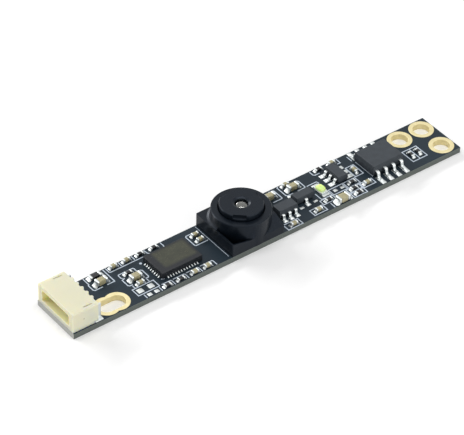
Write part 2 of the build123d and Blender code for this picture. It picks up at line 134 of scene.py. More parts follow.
# Epoxy solder mask, curtain coated over glass cloth laminate and baked: a dark satin skin on the two
# faces with the cloth's weave just showing, the sawn grey-green laminate with its layers at the edges,
# and pale torn glass at the left end, where the board was snapped from its panel; that end's paleness is
# partly the torn fibres and partly a painted highlight, where they catch the light
board = {
    "maskDark": "#1C262D", "maskLight": "#2B3741", "laminate": "#555B57", "clothLine": "#6F7571",
    "tornGlassAndHighlight": "#A0A19C", "tornFibreAndHighlight": "#CDCEC9", "cloudSize": 9, "peelSize": 0.25,
    "layerPitch": 0.2, "weavePitch": 0.5, "weaveShare": 0.35, "maskRoughness": 0.34,
    "edgeRoughness": 0.75, "facingLimit": 0.7, "bumpStrength": 0.12, "bumpDepth": 0.02,
}


def solderMaskAndLaminate():
    material, shader = newMaterial("solderMaskOverGlassLaminate", {
        "IOR": 1.52, "Specular IOR Level": 0.15})
    links = material.node_tree.links
    place = addNode(material, "ShaderNodeTexCoord").outputs["Object"]
    cloud = addNode(material, "ShaderNodeTexNoise", {
        "Vector": place, "Scale": 1 / (board["cloudSize"] * mm), "Detail": 4.0})
    peel = addNode(material, "ShaderNodeTexNoise", {
        "Vector": place, "Scale": 1 / (board["peelSize"] * mm), "Detail": 2.0})
    mask = addNode(material, "ShaderNodeMix", {
        mixFactor: cloud.outputs["Fac"], mixFirst: linearColour(board["maskDark"]),
        mixSecond: linearColour(board["maskLight"])}, data_type="RGBA")
    # A Wave texture makes one band in pi / 10 of its own units
    bandScale = math.pi / 10 / mm
    layers = addNode(material, "ShaderNodeTexWave", {
        "Vector": place, "Scale": bandScale / board["layerPitch"], "Distortion": 1.5, "Detail": 2.0},
        bands_direction="Z")
    edge = addNode(material, "ShaderNodeMix", {
        mixFactor: layers.outputs["Fac"], mixFirst: linearColour(board["laminate"]),
        mixSecond: linearColour(board["clothLine"])}, data_type="RGBA")
    facing = addNode(material, "ShaderNodeSeparateXYZ", {
        "Vector": addNode(material, "ShaderNodeNewGeometry").outputs["Normal"]})
    # Faces turned to -X, at the left end, get the pale torn glass: partly the torn fibres, partly a
    # painted highlight
    tornAndLitFaces = addNode(material, "ShaderNodeMath", {0: facing.outputs["X"], 1: -board["facingLimit"]},
                   operation="LESS_THAN")
    tornAndLitColour = addNode(material, "ShaderNodeMix", {
        mixFactor: layers.outputs["Fac"], mixFirst: linearColour(board["tornGlassAndHighlight"]),
        mixSecond: linearColour(board["tornFibreAndHighlight"])}, data_type="RGBA")
    sides = addNode(material, "ShaderNodeMix", {
        mixFactor: tornAndLitFaces.outputs[0], mixFirst: edge.outputs[mixResult],
        mixSecond: tornAndLitColour.outputs[mixResult]}, data_type="RGBA")
    flatness = addNode(material, "ShaderNodeMath", {0: facing.outputs["Z"]}, operation="ABSOLUTE")
    onFace = addNode(material, "ShaderNodeMath", {0: flatness.outputs[0], 1: board["facingLimit"]},
                     operation="GREATER_THAN")
    colour = addNode(material, "ShaderNodeMix", {
        mixFactor: onFace.outputs[0], mixFirst: sides.outputs[mixResult],
        mixSecond: mask.outputs[mixResult]}, data_type="RGBA")
    gloss = addNode(material, "ShaderNodeMapRange", {
        "Value": onFace.outputs[0], "To Min": board["edgeRoughness"], "To Max": board["maskRoughness"]})
    warp, weft = (addNode(material, "ShaderNodeTexWave", {
        "Vector": place, "Scale": bandScale / board["weavePitch"], "Distortion": 0.6},
        bands_direction=direction) for direction in "XY")
    weave = addNode(material, "ShaderNodeMath", {0: warp.outputs["Fac"], 1: weft.outputs["Fac"]},
                    operation="MAXIMUM")
    height = addNode(material, "ShaderNodeMath", {
        0: weave.outputs[0], 1: board["weaveShare"], 2: peel.outputs["Fac"]}, operation="MULTIPLY_ADD")
    relief = addNode(material, "ShaderNodeBump", {
        "Height": height.outputs[0], "Strength": board["bumpStrength"],
        "Distance": board["bumpDepth"] * mm})
    links.new(colour.outputs[mixResult], shader.inputs["Base Color"])
    links.new(gloss.outputs["Result"], shader.inputs["Roughness"])
    links.new(relief.outputs["Normal"], shader.inputs["Normal"])
    return material


# Moulding compound, ground flat and sawn, with the ground surface's faint long scratches. A painted
# olive sheen covers the top, a lighter colour standing in for reflected light, and stops short of a
# darker rim
controllerLook = {
    "rim": "#191C21", "paintedSheenDark": "#2B2D26", "paintedSheenLight": "#444638", "softness": 0.45,
    "rims": {"left": 0.8, "right": 0.1, "near": 0.5, "far": 0.05}, "line": "#7C785F", "lineShare": 0.5,
    "dimplePlace": (0.62, 0.62), "dimpleRadius": 0.2, "cloudSize": 1.2, "scratchSize": 0.5,
    "gritSize": 0.04, "scratchStretch": 9.0, "roughness": (0.38, 0.55), "dimpleDepth": 3.0,
    "bumpStrength": 0.25, "bumpDepth": 0.03,
}


def groundMouldingCompound():
    material, shader = newMaterial("groundMouldingCompound", {"IOR": 1.55, "Specular IOR Level": 0.28})
    links = material.node_tree.links
    low, high = (np.array(corner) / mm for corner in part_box("controller_body"))
    inward, along = controllerLook["dimplePlace"]
    dimple = (low[0] + inward, high[1] - along, high[2])
    low[:2] += controllerLook["rims"]["left"], controllerLook["rims"]["near"]
    high[:2] -= controllerLook["rims"]["right"], controllerLook["rims"]["far"]
    centre, half = (low + high) / 2, (high - low) / 2
    place = addNode(material, "ShaderNodeTexCoord").outputs["Object"]
    # Share of the painted sheen: 1 inside the rims, falling to 0 over the softness
    inside = insideBox(material, place, centre, half, controllerLook["softness"], "XY")
    cloud = addNode(material, "ShaderNodeTexNoise", {
        "Vector": place, "Scale": 1 / (controllerLook["cloudSize"] * mm), "Detail": 4.0})
    stretched = addNode(material, "ShaderNodeMapping", {
        "Vector": place, "Scale": (1.0, controllerLook["scratchStretch"], 1.0)})
    scratches = addNode(material, "ShaderNodeTexNoise", {
        "Vector": stretched.outputs["Vector"], "Scale": 1 / (controllerLook["scratchSize"] * mm),
        "Detail": 3.0})
    grit = addNode(material, "ShaderNodeTexNoise", {
        "Vector": place, "Scale": 1 / (controllerLook["gritSize"] * mm), "Detail": 2.0})
    middle = addNode(material, "ShaderNodeMix", {
        mixFactor: cloud.outputs["Fac"], mixFirst: linearColour(controllerLook["paintedSheenDark"]),
        mixSecond: linearColour(controllerLook["paintedSheenLight"])}, data_type="RGBA")
    line = addNode(material, "ShaderNodeMapRange", {
        "Value": scratches.outputs["Fac"], "From Min": 0.6, "From Max": 0.75,
        "To Min": 0.0, "To Max": controllerLook["lineShare"]})
    ground = addNode(material, "ShaderNodeMix", {
        mixFactor: line.outputs["Result"], mixFirst: middle.outputs[mixResult],
        mixSecond: linearColour(controllerLook["line"])}, data_type="RGBA")
    colour = addNode(material, "ShaderNodeMix", {
        mixFactor: inside, mixFirst: linearColour(controllerLook["rim"]),
        mixSecond: ground.outputs[mixResult]}, data_type="RGBA")
    # The round dimple that marks the first pad
    sunk = roundMark(material, place, dimple, controllerLook["dimpleRadius"], core=0.8, strength=1.0)
    marked = addNode(material, "ShaderNodeMix", {
        mixFactor: sunk, mixFirst: colour.outputs[mixResult],
        mixSecond: linearColour(controllerLook["rim"])}, data_type="RGBA")
    gloss = addNode(material, "ShaderNodeMapRange", {
        "Value": scratches.outputs["Fac"], "From Min": 0.35, "From Max": 0.65,
        "To Min": controllerLook["roughness"][0], "To Max": controllerLook["roughness"][1]})
    depth = addNode(material, "ShaderNodeMath", {
        0: sunk, 1: -controllerLook["dimpleDepth"], 2: grit.outputs["Fac"]}, operation="MULTIPLY_ADD")
    relief = addNode(material, "ShaderNodeBump", {
        "Height": depth.outputs[0], "Strength": controllerLook["bumpStrength"],
        "Distance": controllerLook["bumpDepth"] * mm})
    links.new(marked.outputs[mixResult], shader.inputs["Base Color"])
    links.new(gloss.outputs["Result"], shader.inputs["Roughness"])
    links.new(relief.outputs["Normal"], shader.inputs["Normal"])
    return material


# Natural nylon, injection moulded in a fine spark eroded mould: warm cream and slightly waxy. The mouth
# has a painted glow, a brighter, deeper yellow that stands in for light that has come through the walls
# and stays
housingLook = {
    "dark": "#DAD7BB", "light": "#E3E1CA", "mouth": "#FFF3C4", "mouthDepth": 3.0, "mouthHalf": 2.8,
    "mouthLevels": (1.45, 3.15), "softness": 0.12, "gatePlace": (1.62, 2.3), "gateRadius": 0.13,
    "gate": "#A9A27C",
}


def mouldedNylon():
    material = grainedFinish("mouldedNaturalNylon", housingLook["dark"], housingLook["light"], 3.0, 0.04,
                             (0.42, 0.55), 0.1, {
                                 "IOR": 1.53, "Subsurface Weight": 0.7, "Subsurface Scale": 1.2 * mm,
                                 "Subsurface Radius": (1.0, 0.78, 0.4)})
    shader = material.node_tree.nodes["Principled BSDF"]
    plain = shader.inputs["Base Color"].links[0].from_socket
    front, nearFace = (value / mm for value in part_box("connector_housing")[0][:2])
    floor, roof = housingLook["mouthLevels"]
    centre = np.array([front, 0.0, (floor + roof) / 2])
    half = np.array([housingLook["mouthDepth"], housingLook["mouthHalf"], (roof - floor) / 2])
    place = addNode(material, "ShaderNodeTexCoord").outputs["Object"]
    softness = housingLook["softness"]
    # The painted glow fills a box round the mouth, fading out over the softness
    inside = insideBox(material, place, centre, half + softness, softness, "XYZ")
    colour = addNode(material, "ShaderNodeMix", {
        mixFactor: inside, mixFirst: plain, mixSecond: linearColour(housingLook["mouth"])},
        data_type="RGBA")
    # The small round scar where the runner was cut off the near face
    along, level = housingLook["gatePlace"]
    scar = roundMark(material, place, (front + along, nearFace, level), housingLook["gateRadius"],
                     core=0.5, strength=0.8)
    scarred = addNode(material, "ShaderNodeMix", {
        mixFactor: scar, mixFirst: colour.outputs[mixResult],
        mixSecond: linearColour(housingLook["gate"])}, data_type="RGBA")
    material.node_tree.links.new(scarred.outputs[mixResult], shader.inputs["Base Color"])
    return material


# Polished glass under a thin reflection coating: clear, with sharp reflections and a trace of dust
glassLook = {"body": "#F2F3EA", "dustSize": 0.12, "roughness": (0.02, 0.12)}


def opticalGlass(name, tint):
    clean, dusty = glassLook["roughness"]
    material, shader = newMaterial(name, {
        "Base Color": linearColour(glassLook["body"]), "IOR": 1.6, "Roughness": clean,
        "Transmission Weight": 1.0, "Coat Weight": 1.0, "Coat Roughness": 0.03, "Coat IOR": 2.0,
        "Coat Tint": linearColour(tint)})
    place = addNode(material, "ShaderNodeTexCoord").outputs["Object"]
    dust = addNode(material, "ShaderNodeTexNoise", {
        "Vector": place, "Scale": 1 / (glassLook["dustSize"] * mm), "Detail": 2.0})
    haze = addNode(material, "ShaderNodeMapRange", {
        "Value": dust.outputs["Fac"], "From Min": 0.62, "From Max": 0.8,
        "To Min": clean, "To Max": dusty})
    material.node_tree.links.new(haze.outputs["Result"], shader.inputs["Roughness"])
    return material


# Black glass filled polymer: blue black, glossy enough to mirror the board
blackPolymer = {"IOR": 1.56, "Specular IOR Level": 0.18, "Specular Tint": linearColour("#DDEBFF")}

finishes = {
    "board": solderMaskAndLaminate(),
    # Immersion gold over nickel on rough copper: a pale satin yellow
    "gold": grainedFinish("immersionGoldOverNickel", "#CCC08E", "#EADFB8", 0.8, 0.05, (0.42, 0.58), 0.05,
                          {"Metallic": 1.0}),
    # Tin plated and reflowed with lead free solder: bright, slightly crystalline
    "tin": grainedFinish("reflowedTin", "#C6CBCB", "#DDE1E0", 0.4, 0.09, (0.36, 0.5), 0.03,
                         {"Metallic": 1.0}),
    "nylon": mouldedNylon(),
    # The black polymer as it leaves a polished mould
    "holder": grainedFinish("mouldedBlackPolymer", "#0A0F15", "#11171F", 2.0, 0.05, (0.26, 0.36), 0.04,
                            blackPolymer),
    # The same polymer turned smooth on the barrel
    "barrel": grainedFinish("polishedBlackPolymer", "#0A0F15", "#11171F", 1.0, 0.03, (0.26, 0.36), 0.04,
                            blackPolymer),
    # Epoxy moulding compound with silica grit: dull charcoal
    "chip": grainedFinish("epoxyMouldingCompound", "#20262C", "#343B42", 0.8, 0.035, (0.5, 0.68), 0.2,
                          {"IOR": 1.5, "Specular IOR Level": 0.45}),
    "controller": groundMouldingCompound(),
    # Fired barium titanate ceramic: tan
    "ceramic": grainedFinish("firedCapacitorCeramic", "#989170", "#B6AF8A", 0.3, 0.03, (0.35, 0.5), 0.2,
                             {"IOR": 1.6}),
    # Printed resistor film under black glass glaze
    "resistor": grainedFinish("glazedResistorFilm", "#0F1012", "#202226", 0.3, 0.03, (0.25, 0.4), 0.15,
                              {"IOR": 1.52}),
    # White filled epoxy of the lamp's base
    "lampWhite": grainedFinish("whiteFilledEpoxy", "#DDE3DC", "#F0F3EC", 0.5, 0.04, (0.4, 0.5), 0.15,
                               {"IOR": 1.53}),
    # Cast silicone loaded with phosphor: a bright yellow green with a faint painted glow, an emission in
    # any light
    "lampLens": grainedFinish("phosphorSilicone", "#D0EC78", "#E4F8A6", 0.4, 0.05, (0.2, 0.3), 0.1,
                              {"IOR": 1.41, "Subsurface Weight": 0.3, "Subsurface Scale": 0.3 * mm,
                               "Emission Color": linearColour("#DDF8A0"), "Emission Strength": 0.12}),
    # Screen printed epoxy ink: a pale blue white, thin enough to let the mask tint it
    "ink": grainedFinish("screenPrintedInk", "#B4C1CF", "#D3DDE8", 0.6, 0.05, (0.45, 0.6), 0.2,
                         {"IOR": 1.5}),
    # Alumina ceramic of the sensor package
    "alumina": grainedFinish("firedAlumina", "#26282B", "#3A3C40", 0.5, 0.03, (0.5, 0.6), 0.2,
                             {"IOR": 1.7}),
    "lensGlass": opticalGlass("coatedLensGlass", "#F4F6EC"),
    "filterGlass": opticalGlass("infraredFilterGlass", "#FFC9C9"),
}

# Each node: the finish it wears, and the record's slot that a piece standing for it is in
wears = {
    "circuit_board": ("board", "board_mask"),
    "end_hole_plating": ("gold", "gold_plating"), "keyhole_plating": ("gold", "gold_plating"),
    "bare_lands": ("tin", "tin"), "part_lands": ("tin", "tin"), "solder_fillets": ("tin", "tin"),
    "connector_contacts": ("tin", "tin"), "connector_fitting_nails": ("tin", "tin"),
    "connector_housing": ("nylon", "cream_nylon"),
    "controller_pads": ("tin", "tin"), "controller_body": ("controller", "chip_moulding"),
    "memory_body": ("chip", "chip_moulding"), "memory_leads": ("tin", "tin"),
    "lens_side_regulator_body": ("chip", "chip_moulding"), "lens_side_regulator_leads": ("tin", "tin"),
    "right_regulator_body": ("chip", "chip_moulding"), "right_regulator_leads": ("tin", "tin"),
    "transistor_body": ("chip", "chip_moulding"), "transistor_leads": ("tin", "tin"),
    "lamp_base": ("lampWhite", "lamp_white"), "lamp_terminals": ("tin", "tin"),
    "lamp_lens": ("lampLens", "lamp_green"),
    "small_capacitor_bodies": ("ceramic", "capacitor_ceramic"),
    "small_capacitor_terminals": ("tin", "tin"),
    "large_capacitor_bodies": ("ceramic", "capacitor_ceramic"),
    "large_capacitor_terminals": ("tin", "tin"),
    "wide_capacitor_bodies": ("ceramic", "capacitor_ceramic"),
    "wide_capacitor_terminals": ("tin", "tin"),
    "small_resistor_bodies": ("resistor", "resistor_coat"),
    "small_resistor_terminals": ("tin", "tin"),
    "large_resistor_bodies": ("resistor", "resistor_coat"),
    "large_resistor_terminals": ("tin", "tin"),
    "lens_holder": ("holder", "black_moulding"), "lens_barrel": ("barrel", "black_moulding"),
    "stop_ring": ("barrel", "black_moulding"), "front_lens": ("lensGlass", "lens_glass"),
    "middle_lens": ("lensGlass", "lens_glass"), "rear_lens": ("lensGlass", "lens_glass"),
    "infrared_filter": ("filterGlass", "filter_glass"), "sensor_package": ("alumina", "sensor_ceramic"),
    "sensor_cover": ("filterGlass", "lens_glass"), "printed_outlines": ("ink", "white_ink"),
}

for nodeName, node in nodes.items():
    node.data.materials.clear()
    node.data.materials.append(finishes[wears[nodeName][0]])
print("finishes set:", len(finishes))


def meshPoints(mesh):
    # The points of a mesh, in mm
    places = np.empty(len(mesh.vertices) * 3)
    mesh.vertices.foreach_get("co", places)
    return places.reshape(-1, 3) / mm


def movePoints(mesh, points):
    # The points of a mesh go to these places, in mm
    mesh.vertices.foreach_set("co", (points * mm).ravel())
    mesh.update()


def squared(wave, power):
    # A sine or cosine w as its sign times |w| to the power: a power under 1 squares a circle off
    return np.sign(wave) * np.abs(wave) ** power


def gridFaces(rows, columns):
    # The quads of a grid whose last column runs on into its first
    corner = np.arange((rows - 1) * columns).reshape(rows - 1, columns)
    after = np.roll(corner, -1, axis=1)
    return np.stack([corner, after, after + columns, corner + columns], axis=-1).reshape(-1, 4)


def closedLoft(rings):
    # Rings of points joined in order, with the first and the last drawn together at their middles
    ends = [np.repeat(rings[[row]].mean(axis=1, keepdims=True), rings.shape[1], axis=1)
            for row in (0, -1)]
    whole = np.concatenate([ends[0], rings, ends[1]])
    return whole.reshape(-1, 3), gridFaces(len(whole), rings.shape[1])


def turned(points, faces, places, sizes=None):
    # The same shape at each place: scaled by its own sizes, turned about Z by the place's last value in
    # degrees, and moved to the place's first three values
    angle = np.radians(places[:, 3])
    spin = np.zeros((len(places), 3, 3))
    spin[:, 0, 0] = spin[:, 1, 1] = np.cos(angle)
    spin[:, 1, 0] = np.sin(angle)
    spin[:, 0, 1] = -np.sin(angle)
    spin[:, 2, 2] = 1
    shapes = points[None] * (np.ones((len(places), 1, 3)) if sizes is None else sizes[:, None])
    moved = np.einsum("kij,knj->kni", spin, shapes) + places[:, None, :3]
    return moved.reshape(-1, 3), joinedFaces(faces, len(places), len(points))


def joinedFaces(faces, copies, count):
    # The faces of each copy, numbered on from the copy before it
    return (faces[None] + (np.arange(copies) * count)[:, None, None]).reshape(-1, faces.shape[1])


# Points nearer than the weld in metres are one, and faces that meet within so many degrees are one
meshCare = {"weld": 1e-7, "flatWithin": 0.3}


def finishedPiece(name, mesh, like, standsFor, sharpAngle):
    # Faces outward, smooth but for edges past the angle, in the finish of the node it is like
    shell = bmesh.new()
    shell.from_mesh(mesh)
    bmesh.ops.remove_doubles(shell, verts=shell.verts, dist=meshCare["weld"])
    bmesh.ops.dissolve_degenerate(shell, edges=shell.edges, dist=meshCare["weld"])
    bmesh.ops.dissolve_limit(shell, angle_limit=math.radians(meshCare["flatWithin"]),
                             verts=shell.verts, edges=shell.edges)
    bmesh.ops.recalc_face_normals(shell, faces=shell.faces)
    shell.to_mesh(mesh)
    shell.free()
    mesh.shade_smooth()
    mesh.set_sharp_from_angle(angle=math.radians(sharpAngle))
    mesh.materials.clear()
    mesh.materials.append(finishes[wears[like][0]])
    piece = bpy.data.objects.new(name, mesh)
    bpy.context.scene.collection.objects.link(piece)
    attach(piece, "root")
    if standsFor:
        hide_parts(*standsFor)
    return piece


def flatFacesFirst(piece):
    # Wide flat faces decide the shading at their edges, so that they stay flat to the eye
    weigh = piece.modifiers.new("flatFacesFirst", "WEIGHTED_NORMAL")
    weigh.weight = 100
    weigh.keep_sharp = True


def newPiece(name, shape, like, standsFor=(), sharpAngle=40):
    # A piece from worked out points in mm and their faces
    points, faces = shape
    mesh = bpy.data.meshes.new(name)
    mesh.from_pydata((points * mm).tolist(), [], faces.tolist())
    piece = finishedPiece(name, mesh, like, standsFor, sharpAngle)
    flatFacesFirst(piece)
    return piece


def softenedCopy(nodeName, edge, sharpAngle=16, segments=2):
    # A copy of a node's own mesh, joined up, with its edges rounded as they leave the mould or the saw
    mesh = nodes[nodeName].data.copy()
    piece = finishedPiece("dressed_" + nodeName, mesh, nodeName, (nodeName,), sharpAngle)
    bevel = piece.modifiers.new("softEdges", "BEVEL")
    bevel.width = edge * mm
    bevel.segments = segments
    bevel.limit_method = "ANGLE"
    bevel.angle_limit = math.radians(sharpAngle)
    flatFacesFirst(piece)
    return piece


def solidsOf(nodeName):
    # The separate solids of a node as lists of points in mm. Each point takes the lowest number among
    # the corners of its triangles, over and over, until every solid has one number of its own
    mesh = nodes[nodeName].data
    corners = np.empty(len(mesh.polygons) * 3, dtype=np.int64)
    mesh.polygons.foreach_get("vertices", corners)
    points, shared = np.unique(np.round(meshPoints(mesh), 4), axis=0, return_inverse=True)
    triangles = shared.reshape(-1)[corners].reshape(-1, 3)
    number = np.arange(len(points))
    while True:
        lowest = number.copy()
        for side in range(3):
            np.minimum.at(lowest, triangles[:, side], number[triangles].min(axis=1))
        if (lowest == number).all():
            break
        number = lowest
    return [points[number == value] for value in np.unique(number)]


def boxesOf(nodeName):
    # Lowest and highest corner of each solid of a node
    return np.array([(points.min(axis=0), points.max(axis=0)) for points in solidsOf(nodeName)])


def outwardPlaces(solids, layer=0.05):
    # For each solid that falls outwards: the middle of its low outer end with its turn, and its length,
    # width and height. Its foot and head are the points within a layer of its lowest and highest
    places, sizes = [], []
    for points in solids:
        low, high = points.min(axis=0), points.max(axis=0)
        foot = points[points[:, 2] < low[2] + layer].mean(axis=0)
        head = points[points[:, 2] > high[2] - layer].mean(axis=0)
        quarter = round(math.atan2(foot[1] - head[1], foot[0] - head[0]) / (math.pi / 2))
        along = np.array([math.cos(quarter * math.pi / 2), math.sin(quarter * math.pi / 2)])
        end = (low + high)[:2] / 2 + along * np.abs(along * (high - low)[:2]).sum() / 2
        length, width = (high - low)[:2] if quarter % 2 == 0 else (high - low)[1::-1]
        places.append((end[0], end[1], low[2], quarter * 90))
        sizes.append((length, width, high[2] - low[2]))
    return np.array(places), np.array(sizes)


def roundedBlocks(boxes, radius, steps=3):
    # Boxes with rounded edges: the grid of a sphere of the edge radius, whose eight parts are pushed
    # apart to the corners of a smaller box, so a point is radius times its direction plus the corner
    quarter = np.linspace(0, math.pi / 2, steps)
    rise = np.concatenate([quarter - math.pi / 2, quarter])
    around = np.concatenate([quarter + part * math.pi / 2 for part in range(4)])
    direction = np.stack([np.outer(np.cos(rise), np.cos(around)), np.outer(np.cos(rise), np.sin(around)),
                          np.outer(np.sin(rise), np.ones_like(around))], axis=-1)
    corner = np.stack(np.broadcast_arrays(
        np.repeat([1, -1, -1, 1], steps)[None], np.repeat([1, 1, -1, -1], steps)[None],
        np.repeat([-1, 1], steps)[:, None]), axis=-1)
    half = (boxes[:, 1] - boxes[:, 0]) / 2
    middle = boxes.mean(axis=1)
    inner = half[:, None, None] - radius
    rings = middle[:, None, None] + radius * direction[None] + inner * corner[None]
    poles = [rings[:, [row]].mean(axis=2, keepdims=True) + 0 * rings[:, :1] for row in (0, -1)]
    whole = np.concatenate([poles[0], rings, poles[1]], axis=1)
    faces = gridFaces(whole.shape[1], whole.shape[2])
    return whole.reshape(-1, 3), joinedFaces(faces, len(boxes), whole.shape[1] * whole.shape[2])


def roundedPiece(prefix, nodeName, radius, sharpAngle):
    blocks = roundedBlocks(boxesOf(nodeName), radius)
    newPiece(prefix + nodeName, blocks, nodeName, (nodeName,), sharpAngle)


# Small fitted parts have dipped metal ends on a fired body, so they are round at every edge: first the
# radius at the ends, then the body's. The tinned lands have one radius
landRadius = 0.019
smallParts = {
    "small_capacitor": (0.07, 0.04), "large_capacitor": (0.11, 0.06), "wide_capacitor": (0.12, 0.07),
    "small_resistor": (0.06, 0.03), "large_resistor": (0.08, 0.04),
}
for family, (endRadius, bodyRadius) in smallParts.items():
    roundedPiece("dipped_", family + "_terminals", endRadius, sharpAngle=60)
    roundedPiece("fired_", family + "_bodies", bodyRadius, sharpAngle=60)
for lands in ("bare_lands", "part_lands"):
    roundedPiece("tinned_", lands, landRadius, sharpAngle=40)
print("small parts rounded:", len(smallParts), "families")

# Solder: concave joints at the ends of the parts, and the wetted feet of the leads. A section has its
# points at these degrees; a foot is so many wedge heights long; a wedge within the slack of the board's
# top is a part's joint, and one higher up is a lead's foot
solderJoints = {
    "rows": 8, "toeRoundness": 6, "lip": 0.12, "footLengths": 3.2, "sideHeight": 0.55,
    "section": (0, 22, 50, 90, 130, 158, 180, 270), "crownPower": 0.6, "boardSlack": 0.02,
}


def solderLoft(along, wide, tall):
    # Sections along X: across is the half width times the cosine, and up is the height times the sine to
    # the crown's power, with a flat foot where the sine is below 0
    around = np.radians(solderJoints["section"])
    crown = np.clip(np.sin(around), 0, None) ** solderJoints["crownPower"]
    return closedLoft(np.stack([
        np.outer(along, np.ones_like(around)), np.outer(wide, np.cos(around)), np.outer(tall, crown)],
        axis=-1))


def unitJoint():
    # One joint of unit length, half width and height, toe at the origin: at the share s from the metal
    # end its height is (1 - s) squared with a low lip, and its half width is (1 - s^n) to the half power
    share = np.linspace(0, 1, solderJoints["rows"])[:-1]
    lip = solderJoints["lip"]
    wide = np.sqrt(1 - share ** solderJoints["toeRoundness"])
    tall = (1 - share) ** 2 * (1 - lip) + lip * np.sqrt(1 - share ** 2)
    return solderLoft(share - 1, wide, tall)


def unitFoot():
    # Solder along a foot, with the lead's toe at x = 0, its heel at -1 and the land's end at 1: the
    # height follows the listed shares, and the half width is (1 - x^6) to the half power
    along = np.array([-0.98, -0.9, -0.7, -0.4, -0.12, 0.0, 0.08, 0.2, 0.36, 0.55, 0.75, 0.9, 0.98])
    side = solderJoints["sideHeight"]
    tall = np.array([0.2, side, side * 0.9, side * 0.9, side * 1.15, 1.0, 0.98, 0.82, 0.6, 0.4, 0.24,
                     0.15, 0.07])
    return solderLoft(along, np.sqrt(1 - along ** 6), tall)


def solderShapes():
    wedges = solidsOf("solder_fillets")
    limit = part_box("circuit_board")[1][2] / mm + solderJoints["boardSlack"]
    onBoard = [points for points in wedges if points[:, 2].min() < limit]
    onLands = [points for points in wedges if points[:, 2].min() >= limit]
    places, sizes = outwardPlaces(onBoard)
    jointPoints, jointFaces = unitJoint()
    joints = turned(jointPoints, jointFaces, places, sizes * (1, 0.5, 1))
    places, sizes = outwardPlaces(onLands)
    # The foot's own frame starts at the lead's toe, one wedge length inside the wedge's outer end
    angle = np.radians(places[:, 3])
    places[:, :2] -= np.stack([np.cos(angle), np.sin(angle)], axis=-1) * sizes[:, :1]
    footPoints, footFaces = unitFoot()
    # Behind the toe x is scaled by the wedge's height, and ahead of it by the wedge's length
    heelSizes = sizes[:, 2:] * (solderJoints["footLengths"], 0, 0)
    heel = turned(footPoints * (footPoints[:, :1] < 0), footFaces, places, heelSizes)
    toe = turned(np.maximum(footPoints, (0, -np.inf, -np.inf)), footFaces, places, sizes * (1, 0.5, 1))
    feet = toe[0] + heel[0] - np.repeat(places[:, :3], len(footPoints), axis=0)
    return np.concatenate([joints[0], feet]), np.concatenate([joints[1], toe[1] + len(joints[0])])


newPiece("reflowed_solder", solderShapes(), "solder_fillets", ("solder_fillets",), sharpAngle=60)
print("solder joints ready")

# Leads: flat strip, bent to a gull wing in a press and tinned. Reach is from the body to the toe
smallLead = {"reach": 0.58, "foot": 0.32, "width": 0.4, "thickness": 0.13, "bend": 0.12}
leadShapes = {
    "memory_leads": {
        "reach": 1.05, "rise": 0.85, "foot": 0.55, "width": 0.42, "thickness": 0.2, "bend": 0.2},
    "lens_side_regulator_leads": {**smallLead, "rise": 0.65},
    "right_regulator_leads": {**smallLead, "rise": 0.52},
    "transistor_leads": {**smallLead, "rise": 0.546},
}
# How far a lead runs into its body, the share of its reach at its shoulder, and its section's power
pressedLead = {"inside": 0.2, "shoulder": 0.34, "edgePower": 0.3}


def bentStrip(path, width, thickness, bend, samples=6):
    # A strip carried along a path in XZ. Each corner P is eased by the curve (1-q)^2 (P - d a) +
    # 2 q (1-q) P + q^2 (P + d b), where a and b are the runs' directions and d is the bend's length
    path = np.array(path)
    runs = np.diff(path, axis=0)
    runs = runs / np.linalg.norm(runs, axis=1, keepdims=True)
    q = np.linspace(0, 1, samples)[None, :, None]
    corner = path[1:-1, None]
    eased = ((1 - q) ** 2 * (corner - bend * runs[:-1, None]) + 2 * q * (1 - q) * corner
             + q ** 2 * (corner + bend * runs[1:, None])).reshape(-1, 2)
    line = np.concatenate([path[:1], eased, path[-1:]])
    tangent = np.gradient(line, axis=0)
    tangent = tangent / np.linalg.norm(tangent, axis=1, keepdims=True)
    normal = np.stack([-tangent[:, 1], tangent[:, 0]], axis=-1)
    around = np.radians(np.arange(15, 360, 30))
    across = squared(np.cos(around), pressedLead["edgePower"]) * width / 2
    through = squared(np.sin(around), pressedLead["edgePower"]) * thickness / 2
    place = line[:, None] + through[None, :, None] * normal[:, None]
    across = np.broadcast_to(across, place.shape[:2])
    return closedLoft(np.stack([place[..., 0], across, place[..., 1]], axis=-1))


def gullWing(shape):
    reach, rise, foot, thickness = (shape[name] for name in ("reach", "rise", "foot", "thickness"))
    path = [(-pressedLead["inside"], rise), (reach * pressedLead["shoulder"], rise),
            (reach - foot, thickness / 2), (reach, thickness / 2)]
    points, faces = bentStrip(path, shape["width"], thickness, shape["bend"])
    return points - (reach, 0, 0), faces


for leadNode, shape in leadShapes.items():
    leadPlaces = outwardPlaces(solidsOf(leadNode))[0]
    newPiece("pressed_" + leadNode, turned(*gullWing(shape), leadPlaces), leadNode, (leadNode,),
             sharpAngle=60)
print("leads bent:", len(leadShapes), "chips")

# The controller's pads: a small joint climbs the sawn side of each
controllerJoints = {
    "reach": 0.22, "halfWidth": 0.065, "height": 0.16, "longestPad": 1.0, "toeInside": 0.02,
}


def controllerSolder():
    # The same joint at each narrow pad, with its toe just inside the outer end of the land
    boxes = boxesOf("controller_pads")
    centre = np.array([sum(corner) / 2 for corner in zip(*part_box("controller_body"))]) / mm
    size = (boxes[:, 1] - boxes[:, 0])[:, :2]
    narrow = size.max(axis=1) < controllerJoints["longestPad"]
    boxes, size = boxes[narrow], size[narrow]
    middle = boxes.mean(axis=1)
    lengthwise = size[:, 0] > size[:, 1]
    side = np.sign(middle - centre)
    outward = np.where(lengthwise[:, None], side[:, :2] * (1, 0), side[:, :2] * (0, 1))
    toe = middle[:, :2] + outward * (size.max(axis=1, keepdims=True) / 2 - controllerJoints["toeInside"])
    angle = np.degrees(np.arctan2(outward[:, 1], outward[:, 0]))
    places = np.column_stack([toe, boxes[:, 1, 2], angle])
    sizes = np.tile([controllerJoints[name] for name in ("reach", "halfWidth", "height")],
                    (len(places), 1))
    return turned(*unitJoint(), places, sizes)


